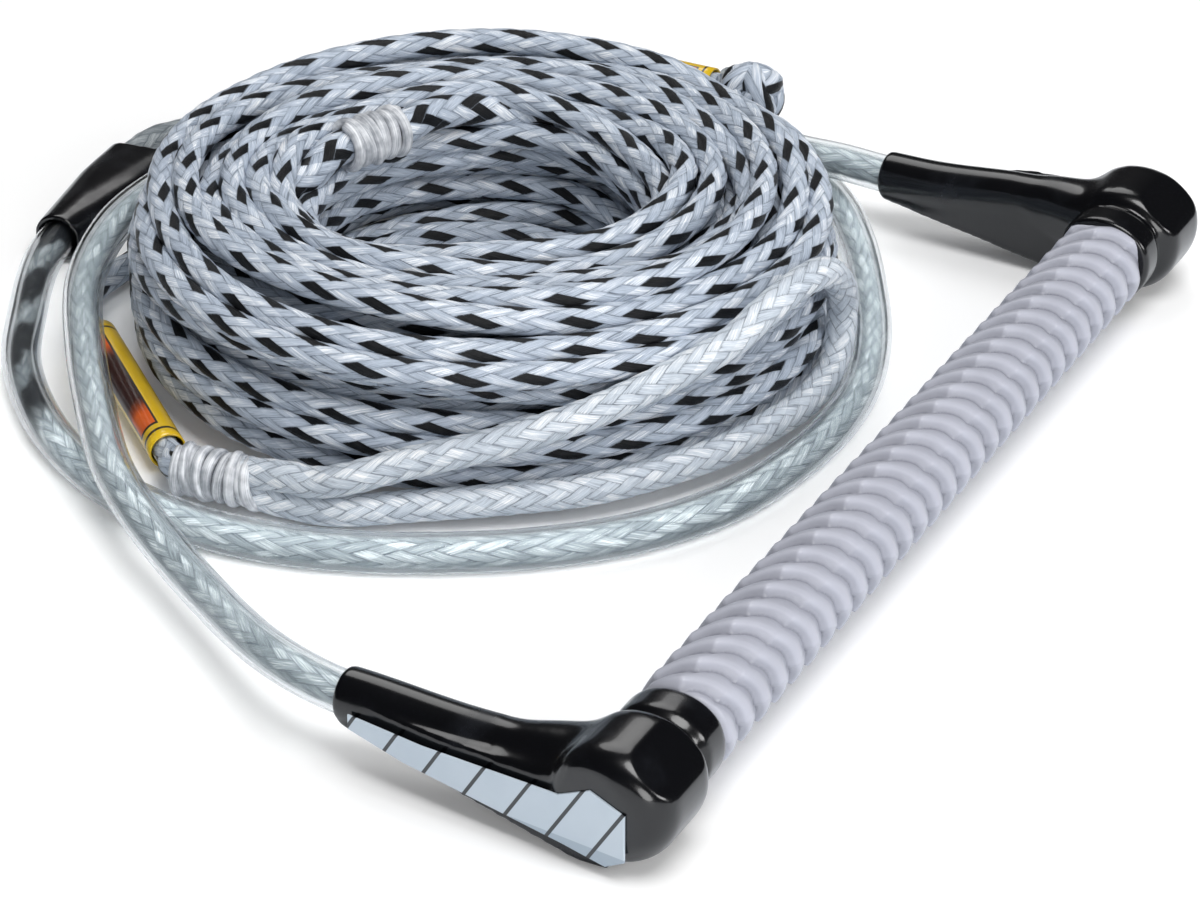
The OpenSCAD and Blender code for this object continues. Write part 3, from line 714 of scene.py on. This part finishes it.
def sectionWalk(layer):
    # The layer's section from its outer foot over the top to its inner foot, or back on odd layers
    inset = layer * coil["layerStep"]
    outer, inner, top = coil["outer"] - inset, coil["inner"] + inset, coil["top"] - inset
    bend = max(coil["leastBend"], min(coil["shoulder"] - inset / 2, (outer - inner) / 2))
    quarter = np.linspace(0, math.pi / 2, coil["bendPoints"])
    walk = np.array([
        (outer, coil["floor"]),
        *zip(outer - bend * (1 - np.cos(quarter)), top - bend * (1 - np.sin(quarter))),
        *zip(inner + bend * (1 - np.sin(quarter)), top - bend * (1 - np.cos(quarter))),
        (inner, coil["floor"]),
    ])
    return walk[::-1] if layer % 2 else walk


def coilDip(angle, r):
    # The back shoulder sags beside the knot's label
    off = (np.degrees(angle) - coil["dipAngle"] + 180) % 360 - 180
    return coil["dip"] * np.exp(-(off / coil["dipWidth"])**2) * ramp(r, *coil["dipFrom"])


def frontLean(angle):
    # The inner turns lie over towards the hole on the front side
    facing = np.clip(np.cos(angle - math.radians(coil["leanAngle"])), 0, 1)
    return coil["lean"] * facing ** coil["leanPower"]


def windCoil():
    # Turn number, radius and height along the whole main line, then its points
    marks, radii, heights, layerEnds = [], [], [], []
    turn = 0.0
    for layer in range(coil["layers"]):
        walk = sectionWalk(layer)
        steps = sizesOf(np.diff(walk, axis=0))
        steps[np.abs(np.diff(walk[:, 0])) > coil["topStep"]] /= coil["topPitch"]
        marks.extend(turn + np.concatenate([[0], np.cumsum(steps)]) / coil["pitch"])
        radii.extend(walk[:, 0])
        heights.extend(walk[:, 1])
        if layer == 0:
            foot = marks[-1]
            for turns, inwards, height in coil["slips"]:
                marks.append(foot + turns)
                radii.append(coil["inner"] - inwards)
                heights.append(coil["floor"] + height)
        layerEnds.append(marks[-1])
        turn = marks[-1] + coil["layerGap"]
    t = np.linspace(0, marks[-1], int(marks[-1] * coil["perTurn"]))
    r, z = np.interp(t, marks, radii), np.interp(t, marks, heights)
    lead = np.clip(1 - t / coil["leadIn"], 0, 1)
    r += (coil["startRadius"] - coil["outer"]) * lead**2 * (3 - 2 * lead)
    draw = np.random.default_rng(coil["seed"])
    loose = coil["wander"] * np.clip(t - coil["wanderFrom"], 0, 1)
    count = coil["draws"]
    for wave in coil["waves"]:
        for way, share in ((r, coil["wanderAcross"]), (z, coil["wanderUp"])):
            phase = np.interp(t, np.arange(count), draw.uniform(0, 2 * math.pi, count))
            way += loose / wave * np.sin(wave * 2 * math.pi * t + phase) * share
    angle = startTurn - 2 * math.pi * t
    edge = coil["outer"] - coil["leanFrom"]
    r -= frontLean(angle) * np.clip((edge - r) / (edge - coil["inner"]), 0, 1)
    z -= coilDip(angle, r) * np.clip(z / coil["dipHeight"], 0, 1)
    x, y = coil["centre"]
    points = np.stack([x + r * np.cos(angle), y + r * np.sin(angle), z], 1)
    run = lengthsAlong(points)
    even = evenSteps(points, coil["spacing"])
    marksAt = np.interp(np.linspace(0, run[-1], len(even)), run, t)
    points = np.vstack([[startPoint - startDir * ropeD], even])
    return points, np.concatenate([[0], marksAt]), layerEnds


# How the turns settle: what pushes and holds each point in a round
settle = {
    "rounds": 260, "lookEvery": 6, "lookMore": 2, "skip": 3, "touch": 8.2, "apart": 0.22,
    "fromCords": 0.3, "straight": 0.35, "home": 0.012, "weight": 0.02, "length": 0.45,
    "topRoom": 0.8, "sideRoom": 1.2, "innerRoom": 5, "slipRoom": 16, "slipFrom": (-14, 6),
    "held": 0.25, "least": 1e-6,
}


def closePairs(points, others, reach):
    gap = (points**2).sum(1)[:, None] + (others**2).sum(1)[None] - 2 * points @ others.T
    return np.nonzero(gap < reach**2)


def bendOf(points):
    bend = np.zeros_like(points)
    bend[1:-1] = (points[:-2] + points[2:]) / 2 - points[1:-1]
    return bend


def shoveApart(apart, room, strength):
    gap = np.maximum(sizesOf(apart), settle["least"])
    return apart * (np.maximum(room - gap, 0) / gap * strength)[:, None]


def settleCoil(points, fixed, obstacles, room):
    # The turns push each other apart, keep their length and their bend, and lie on the floor
    home = points.copy()
    links = sizesOf(np.diff(points, axis=0))
    bend = bendOf(points)
    centre = np.array([*coil["centre"], 0])
    for step in range(settle["rounds"]):
        if step % settle["lookEvery"] == 0:
            one, two = closePairs(points, points, settle["touch"] + settle["lookMore"])
            keep = two - one > settle["skip"]
            one, two = one[keep], two[keep]
            own, stone = closePairs(points, obstacles, room.max() + settle["lookMore"])
        push = np.zeros_like(points)
        shove = shoveApart(points[one] - points[two], settle["touch"], settle["apart"])
        np.add.at(push, one, shove)
        np.add.at(push, two, -shove)
        away = points[own] - obstacles[stone]
        np.add.at(push, own, shoveApart(away, room[stone], settle["fromCords"]))
        push += settle["straight"] * (bendOf(points) - bend) + settle["home"] * (home - points)
        push[:, 2] -= settle["weight"]
        points = points + push * fixed
        for odd in (0, 1):
            a, b = points[odd:-1:2], points[odd + 1::2]
            line = b - a
            size = np.maximum(sizesOf(line), settle["least"])
            pull = line * ((size - links[odd::2]) / size * settle["length"])[:, None]
            points[odd:-1:2] += pull * fixed[odd:-1:2]
            points[odd + 1::2] -= pull * fixed[odd + 1::2]
        flat = points - centre
        away = np.hypot(flat[:, 0], flat[:, 1])
        around = np.arctan2(flat[:, 1], flat[:, 0])
        highest = coil["top"] + settle["topRoom"] - coilDip(around, away)
        points[:, 2] = np.clip(points[:, 2], coil["floor"], highest)
        slip = settle["slipRoom"] * ramp(-points[:, 2], *settle["slipFrom"])
        narrow = coil["inner"] - settle["innerRoom"] - np.maximum(slip, frontLean(around))
        limit = np.clip(away, narrow, coil["outer"] + settle["sideRoom"]) / away
        limit = np.where(fixed[:, 0] > 0, limit, 1)
        points[:, :2] = centre[:2] + flat[:, :2] * limit[:, None]
    return points


# The main line's sections: five seen ones, the middle layer and the hidden inner one
sections = {
    "seen": 5, "step": 1.25,
    "skips": [1, 1, 1, 1, 1, 2, 5],
    "sides": [32, 32, 32, 32, 32, 20, 10],
    "reliefFrom": 12, "cordStep": 3, "beside": 4.3,
}


def makeCoil():
    points, turns, layerEnds = windCoil()
    fixed = ramp(turns, settle["held"], settle["held"])[:, None]
    # the cords that the turns keep clear of, each with its radius
    cords = ((loopRoute, 4.5), (lineRoute, 4.5), (sectionRoute, 4.9), (towRoute, 4.6))
    stones = [smoothRoute(route, sections["cordStep"]) for route, radius in cords]
    room = [np.full(len(path), cord[1] + sections["beside"]) for path, cord in zip(stones, cords)]
    points = settleCoil(points, fixed, np.vstack(stones), np.concatenate(room))
    shares = [layerEnds[0] * share / sections["seen"] for share in range(sections["seen"] + 1)]
    cuts = [*shares, layerEnds[1], turns[-1]]
    dense = smoothRoute(points, sections["step"]) * mm
    frames = sweepFrames(dense)
    run = lengthsAlong(dense)
    share = lengthsAlong(points) / lengthsAlong(points)[-1]
    turnAt = np.interp(np.linspace(0, 1, len(dense)), share, turns)
    marks = [int(np.searchsorted(turnAt, cut)) for cut in cuts]
    marks[-1] = len(dense) - 1
    nodes = ["coil_turns", "coil_core"]
    for part, (low, high) in enumerate(zip(marks, marks[1:])):
        name = f"mainLine{part + 1}"
        sides = sections["sides"][part]
        pick = np.append(np.arange(low, high, sections["skips"][part]), high)
        relief = rope["relief"] if sides > sections["reliefFrom"] else 0
        picked = (frames[0][pick], frames[1][pick])
        mesh = ropeMesh(name, dense[pick], rope["radius"], sides, relief, picked, run[pick])
        piece = addPiece(name, mesh, "rope", "rope_set", nodes)
        nodes = []


makeCoil()
print("main line wound")


# The bridle's legs, the trunk and the tow line's free stretches
def clearTube(name, route, body, nodes):
    path = smoothRoute(inMetres(route), tube["step"])
    mesh = hollowMesh(name, path, tube["radius"], tube["inner"], tube["sides"])
    return addPiece(name, mesh, "clear", body, nodes), path


def leg(name, route, last, nodes):
    skin, tubePath = clearTube(name + "Tube", route[:last + 1], None, [n + "_tube" for n in nodes])
    ropePath = smoothRoute(inMetres(route), 2 * rope["step"])
    mesh = ropeMesh(name + "Rope", ropePath, rope["radius"], rope["innerSides"], rope["relief"])
    ropeNodes = [n + "_rope" for n in nodes]
    line = addPiece(name + "Rope", mesh, "tubedRope", None, ropeNodes)
    for piece in (skin, line):
        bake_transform(piece)


leg("nearLeg", nearRoute, tubeLast["near"], ["near_flex", "near_leg"])
leg("farLeg", farRoute, tubeLast["far"], ["far_flex", "far_leg"])


def looseRope(name, route, material, nodes, radius=rope["radius"], lay=braid["lay"]):
    path = smoothRoute(inMetres(route), rope["step"])
    lowest = radius + rope["lift"] * rope["relief"]  # where the strands touch the floor
    path[:, 2] = np.maximum(path[:, 2], lowest)
    mesh = ropeMesh(name, path, radius, rope["sides"], rope["relief"], lay=lay)
    piece = addPiece(name, mesh, material, "rope_set", nodes)


trunkTubed = trunkRoute[:tubeLast["trunk"] + 1]
trunkTube, trunkPath = clearTube("trunkTube", trunkTubed, "rope_set", ["trunk_tube"])
looseRope("trunkRope", trunkRoute, "trunkRope", ["trunk_rope"])
looseRope("lineLead", lineRoute, "rope", ["line_lead"])
looseRope("towLead", towRoute, "rope", ["tow_lead"])

spliced = {"loop": 4.85 * mm, "section": 5.5 * mm, "lay": 58 * mm}
innerEnds = [spliceAt + spliceDir * splice["ends"] + legUp * half for half in (0.5, -0.5)]
towPath = [innerEnds[0], *loopRoute, innerEnds[1]]
sectionPath = [
    (8, 203, 39), (21, 198.5, 46.5), *sectionRoute[:5], (82.5, 174.5, 54.5), (93.5, 169, 53.5),
    (103, 161, 51.5), (111, 150, 48.5), (117, 137, 43),
]
looseRope("towLoop", towPath, "plainRope", ["tow_loop", "loop_splice"],
          spliced["loop"], spliced["lay"])
looseRope("sectionTail", sectionPath, "splicedRope", ["section_splice"],
          spliced["section"], spliced["lay"])
print("legs, trunk and leads made")


# Whippings: twine wound tight round the rope, a little unevenly
whipping = {
    "twine": 1.8, "sides": 14, "step": 1.0, "perTurn": 36, "pitch": 3.0, "drift": 1.1,
    "driftRate": 0.83, "sunk": 0.25, "swell": 0.3, "swellRate": 0.37,
}


def makeWhipping(name, node, mid, direction, core, turns):
    forward = direction / np.linalg.norm(direction)
    up = np.array([0, 0, 1.0])
    side = np.cross(forward, up)
    t = np.linspace(0, 1, round(turns * whipping["perTurn"]) + 1)
    angle = t * turns * 2 * math.pi
    drift = whipping["drift"] * np.sin(angle * whipping["driftRate"] + 1)
    along = (t - 0.5) * turns * whipping["pitch"] + drift
    swell = whipping["sunk"] + whipping["swell"] * np.sin(angle * whipping["swellRate"])
    reach = core + whipping["twine"] * swell
    path = mid + along[:, None] * forward
    path = path + reach[:, None] * (np.cos(angle)[:, None] * up + np.sin(angle)[:, None] * side)
    path = evenSteps(path * mm, whipping["step"] * mm)
    mesh = ropeMesh(name, path, whipping["twine"] * mm, whipping["sides"], 0)
    addPiece(name, mesh, "twine", "rope_set", [node])


sectionMid, sectionDir = np.array([61.5, 182.4, 54]), np.array([0.9, -0.436, 0])
loopMid = spliceAt + spliceDir * splice["whipped"]
makeWhipping("loopWhipping", "loop_whipping", loopMid, spliceDir, core=5.9, turns=8.6)
makeWhipping("sectionWhipping", "section_whipping", sectionMid, sectionDir, core=6.2, turns=7.0)

# The knot: the rope laid over and under itself on a small ball
knot = {
    "ball": 6.9, "swell": 0.5, "swellRate": 1.5, "wraps": 4, "tilt": 0.98, "tiltRate": 0.75,
    "tiltStart": 0.4, "points": 260,
}


def makeKnot():
    turn = np.linspace(0, 1, knot["points"]) * knot["wraps"] * 2 * math.pi
    lift = knot["tilt"] * np.sin(turn * knot["tiltRate"] + knot["tiltStart"])
    ball = knot["ball"] + knot["swell"] * np.sin(turn * knot["swellRate"])
    path = np.stack([np.cos(turn) * np.cos(lift), np.sin(lift), np.sin(turn) * np.cos(lift)], 1)
    path = evenSteps((knotAt + path * ball[:, None]) * mm, rope["step"])
    mesh = ropeMesh("lineKnot", path, rope["radius"], rope["innerSides"], rope["relief"])
    addPiece("lineKnot", mesh, "rope", "rope_set", ["line_knot"])


makeKnot()
print("whippings and knot tied")

# Label sleeves: thin film tubes, loose on the rope
label = {"radius": 5.8, "wall": 0.6, "sides": 48, "step": 3}
backSleeve = {"foot": (167, 112, 44), "turn": 90, "start": 0, "length": 50}


def makeLabel(name, sleeve, body, node):
    direction = heading(sleeve["turn"])
    start = np.array(sleeve["foot"]) + direction * sleeve["start"]
    path = np.array([start, start + direction * sleeve["length"]]) * mm
    path = evenSteps(path, label["step"] * mm)
    inner = label["radius"] - label["wall"]
    mesh = hollowMesh(name, path, label["radius"] * mm, inner * mm, label["sides"])
    addPiece(name, mesh, "label", body, [node])
    places = np.zeros(len(mesh.loops), np.int32)
    mesh.loops.foreach_get("vertex_index", places)
    ring = (places % (len(path) * label["sides"])) // label["sides"]
    turn = (places % label["sides"]) / label["sides"]
    last = np.repeat(turn.reshape(-1, 4).max(1) > 0.75, 4)  # faces that close the ring
    setMap(mesh, "face", np.stack([ring / (len(path) - 1), turn + (last & (turn < 0.25))], 1))


makeLabel("frontLabel", frontSleeve, "front_sleeve", "front_label")
makeLabel("backLabel", backSleeve, "back_sleeve", "back_label")
print("labels made")

# Grip: saw-tooth scales in eight flat columns, wound round the bar as a shallow screw
grip = {
    "length": 305, "crest": 15.2, "groove": 12.0, "bore": 11.15, "axis": (-34.75, 20),
    "pitch": 10.5, "perPitch": 14, "sides": 120, "columns": 8, "lean": -0.5,
    "scallop": 0.13, "flat": 0.2,
    "toothAt": [0, 0.06, 0.16, 0.34, 0.6, 1], "toothHeight": [0, 0.62, 0.95, 1, 0.72, 0],
    "endFade": 2,
}


def gripHeight(x, turn):
    column = turn * grip["columns"]
    middle = 1 - (2 * (column - np.floor(column)) - 1)**2
    phase = (x / grip["pitch"] + grip["lean"] * column - grip["scallop"] * middle) % 1
    tooth = np.interp(phase, grip["toothAt"], grip["toothHeight"])
    return tooth * (1 - grip["flat"] * middle)


def makeGrip():
    half = grip["length"] / 2
    count = round(grip["length"] / grip["pitch"]) * grip["perPitch"]
    bm = bmesh.new()
    profile = [(-half + grip["length"] * i / count, grip["groove"]) for i in range(count + 1)]
    profile = [(-half, grip["bore"]), *profile, (half, grip["bore"])]
    verts = [bm.verts.new((x, 0, r)) for x, r in profile]
    for a, b in zip(verts, verts[1:] + verts[:1]):
        bm.edges.new((a, b))
    bmesh.ops.spin(bm, geom=bm.verts[:] + bm.edges[:], cent=(0, 0, 0), axis=(1, 0, 0),
                   dvec=(0, 0, 0), angle=2 * math.pi, steps=grip["sides"], use_merge=True,
                   use_duplicate=False)
    bmesh.ops.recalc_face_normals(bm, faces=bm.faces[:])
    mesh = meshOf(bm, "gripSleeve")
    points = pointsOf(mesh)
    radius = np.hypot(points[:, 1], points[:, 2])
    turn = np.arctan2(points[:, 2], points[:, 1]) / (2 * math.pi) + 0.5
    height = gripHeight(points[:, 0] + half, turn)
    fade = ramp(half - np.abs(points[:, 0]), 0, grip["endFade"])
    skin = radius > (grip["groove"] + grip["bore"]) / 2
    rise = (grip["crest"] - grip["groove"]) * height * fade
    grown = np.where(skin, grip["groove"] + rise, radius)
    points[:, 1:] *= (grown / radius)[:, None]
    points[:, 1] += grip["axis"][0]
    points[:, 2] += grip["axis"][1]
    mesh.vertices.foreach_set("co", (points * mm).ravel())
    ridge = mesh.attributes.new("ridge", "FLOAT", "POINT")
    ridge.data.foreach_set("value", np.where(skin, height, 1))
    mesh.update()
    mesh.shade_smooth()
    addPiece("gripSleeve", mesh, "rubber", "handle", ["grip"])


makeGrip()
print("grip made")

# Caps and yoke: the moulded shape, softened as a dipped skin is
dip = {
    "merge": 0.002, "voxel": 0.65, "passes": 14, "strength": 0.5, "sagFrom": (12, 10),
    "crownFrom": 27, "crownBack": (4, 12), "crownSink": 0.2, "saddle": (177.5, -13, 29),
    "saddleReach": 15, "saddlePasses": ((1.0, 90), (1.3, 22)),
}


def softenSaddle(mesh, points):
    # The dipped skin runs in a smooth hollow from the ridge into the head
    middle = np.array(dip["saddle"]) * mm
    away = sizesOf(np.abs(points * [1, 0, 0]) + points * [0, 1, 1] - middle)
    bm = bmesh.new()
    bm.from_mesh(mesh)
    bm.verts.ensure_lookup_table()
    for reach, passes in dip["saddlePasses"]:
        near = np.nonzero(away < dip["saddleReach"] * mm * reach)[0]
        verts = [bm.verts[i] for i in near]
        for step in range(passes):
            bmesh.ops.smooth_vert(bm, verts=verts, factor=0.5, use_axis_x=True, use_axis_y=True,
                                  use_axis_z=True)
    bm.to_mesh(mesh)
    bm.free()


def dippedSkin(piece):
    skin = piece.modifiers.new("skin", "REMESH")
    skin.mode = "VOXEL"
    skin.voxel_size = dip["voxel"] * mm
    soften = piece.modifiers.new("soften", "SMOOTH")
    soften.factor = dip["strength"]
    soften.iterations = dip["passes"]
    shaped = piece.evaluated_get(bpy.context.evaluated_depsgraph_get())
    mesh = bpy.data.meshes.new_from_object(shaped)
    piece.modifiers.clear()
    piece.data = mesh
    return mesh


def makeDipped(name, node, body, sag):
    bm = bmesh.new()
    bm.from_mesh(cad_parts[node].data)
    bmesh.ops.remove_doubles(bm, verts=bm.verts[:], dist=dip["merge"] * mm)
    piece = addPiece(name, meshOf(bm, name), "vinyl", None, [node])
    mesh = dippedSkin(piece)
    points = pointsOf(mesh)
    depth, middle, half = sag
    share = np.clip((points[:, 1] / mm - middle) / half, -1, 1)
    high = ramp(points[:, 2] / mm, *dip["sagFrom"])
    points[:, 2] += depth * mm * np.cos(share * math.pi / 2) ** 2 * high
    if body == "handle":
        back = ramp(-points[:, 1] / mm, *dip["crownBack"])
        crown = np.maximum(points[:, 2] / mm - dip["crownFrom"], 0) * back
        points[:, 2] -= crown * dip["crownSink"] * mm
    mesh.vertices.foreach_set("co", points.ravel())
    if body == "handle":
        softenSaddle(mesh, points)
    dress(mesh, "vinyl")
    mesh.shade_smooth()
    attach(piece, body)


# each skin's sag: how deep, where its middle is and half its length
makeDipped("endCapNear", "end_cap_near", "handle", (-1.8, 12, 42))
makeDipped("endCapFar", "end_cap_far", "handle", (3.2, -4, 46))
makeDipped("yokeSleeve", "yoke", "rope_set", (0, 0, 1))
print("caps and yoke made")

# Panels: thin bevelled film on the caps' leaning outer faces
panel = {
    "outer": 196, "barY": -34.75, "lean": math.atan(10.1 / 88), "sunk": 0.5, "proud": 0.1,
    "round": 0.18, "mapSize": (88, 26), "mapStart": 0.08,
    "outline": [
        (-7, 7), (-1, 3.5), (12, 5.5), (64, 11.5), (82, 15.5),
        (82, 20), (58, 19), (14, 20.5), (4, 25.5), (-7, 21.5),
    ],
}


def makePanel(name, side, node):
    out = np.array([math.cos(panel["lean"]), math.sin(panel["lean"]), 0])
    along = np.array([-out[1], out[0], 0])
    foot = np.array([panel["outer"] - panel["sunk"], panel["barY"], 0])
    bm = bmesh.new()
    corners = [foot + along * x + np.array([0, 0, z]) for x, z in panel["outline"]]
    face = bm.faces.new([bm.verts.new(corner) for corner in corners])
    grown = bmesh.ops.extrude_face_region(bm, geom=[face])
    raised = [item for item in grown["geom"] if isinstance(item, bmesh.types.BMVert)]
    bmesh.ops.translate(bm, verts=raised, vec=out * (panel["sunk"] + panel["proud"]))
    raised = set(raised)
    rim = [edge for edge in bm.edges if edge.verts[0] in raised and edge.verts[1] in raised]
    bmesh.ops.bevel(bm, geom=rim, offset=panel["round"], offset_type="OFFSET", affect="EDGES",
                    segments=3, profile=0.5, material=-1)
    layer = bm.loops.layers.uv.new("face")
    length, height = panel["mapSize"]
    for corner in [loop for part in bm.faces for loop in part.loops]:
        away = np.array(corner.vert.co) - foot
        corner[layer].uv = (away @ along / length + panel["mapStart"], away[2] / height)
    for vert in bm.verts:
        vert.co = (vert.co.x * side * mm, vert.co.y * mm, vert.co.z * mm)
    bmesh.ops.recalc_face_normals(bm, faces=bm.faces[:])
    addPiece(name, meshOf(bm, name), "panel", "handle", [node])


makePanel("capPanelNear", -1, "cap_panel_near")
makePanel("capPanelFar", 1, "cap_panel_far")

# CAD nodes that stay get their own finish
kept = {
    "metal": ["bar_tube"],
    "foam": ["float_core"],
    "plug": ["bar_plug_near", "bar_plug_far"],
    "core": ["stop_knot_near", "stop_knot_far", "rope_end_near", "rope_end_far"],
}
for material, nodes in kept.items():
    for node in nodes:
        dress(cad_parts[node].data, material)


# Soft studio light: large panels, and a surround that glossy black sees as a dim room
studio = {
    "surround": 0.30, "mirrored": 0.035, "floorSize": 8, "floorDrop": 0.2 * mm,
    "floorColour": (0.89, 0.915, 0.95, 1), "floorSeen": (1, 1, 1, 1), "floorLift": 0.05,
    # name, place, target, size and power
    "lamps": [
        ("keyPanel", (-0.35, -0.45, 1.6), (0.03, 0.1, 0), 1.0, 17),
        ("backPanel", (1.1, 0.75, 1.6), (0.03, 0.1, 0), 1.3, 11),
        ("frontStrip", (0.0, -1.5, 0.7), (0, 0, 0), 0.7, 9.5),
        ("viewFill", (-1.45, -0.85, 0.4), (0, 0.1, 0), 0.8, 9),
    ],
}


def makeFloor():
    bm = bmesh.new()
    bmesh.ops.create_grid(bm, x_segments=1, y_segments=1, size=studio["floorSize"] / 2)
    mesh = meshOf(bm, "floor")
    floor = addObject("floor", mesh)
    floor.location.z = -studio["floorDrop"]
    sockets = {
        "Roughness": 0.8, "Specular IOR Level": 0.2, "Emission Strength": studio["floorLift"],
    }
    material, wire, feed = newMaterial("paleFloor", sockets)
    seen = wire.ray("Is Camera Ray")
    feed("Base Color", seen.pick(studio["floorColour"], studio["floorSeen"]))
    feed("Emission Color", seen.pick((0, 0, 0, 1), (1, 1, 1, 1)))
    mesh.materials.append(material)


def makeSurround():
    scene.world = bpy.data.worlds.new("surround")
    scene.world.use_nodes = True
    wire = Wire(scene.world.node_tree)
    background = wire.tree.nodes["Background"]
    background.inputs["Color"].default_value = (1, 1, 1, 1)
    seen = wire.ray("Is Camera Ray")
    clear = wire.ray("Is Transmission Ray")
    glossy = wire.ray("Is Glossy Ray")
    level = studio["surround"] + glossy * (studio["mirrored"] - studio["surround"])
    level = level + wire.calc("MAXIMUM", seen, clear) * (1 - level)
    wire.tree.links.new(level.socket, background.inputs["Strength"])


def makeLamps():
    for name, place, target, size, power in studio["lamps"]:
        data = bpy.data.lights.new(name, "AREA")
        data.shape = "DISK"
        data.size = size
        data.energy = power
        aimedObject(name, data, place, Vector(target) - Vector(place))


makeFloor()
makeSurround()
makeLamps()
scene.view_settings.view_transform = "Standard"
print("studio lit")
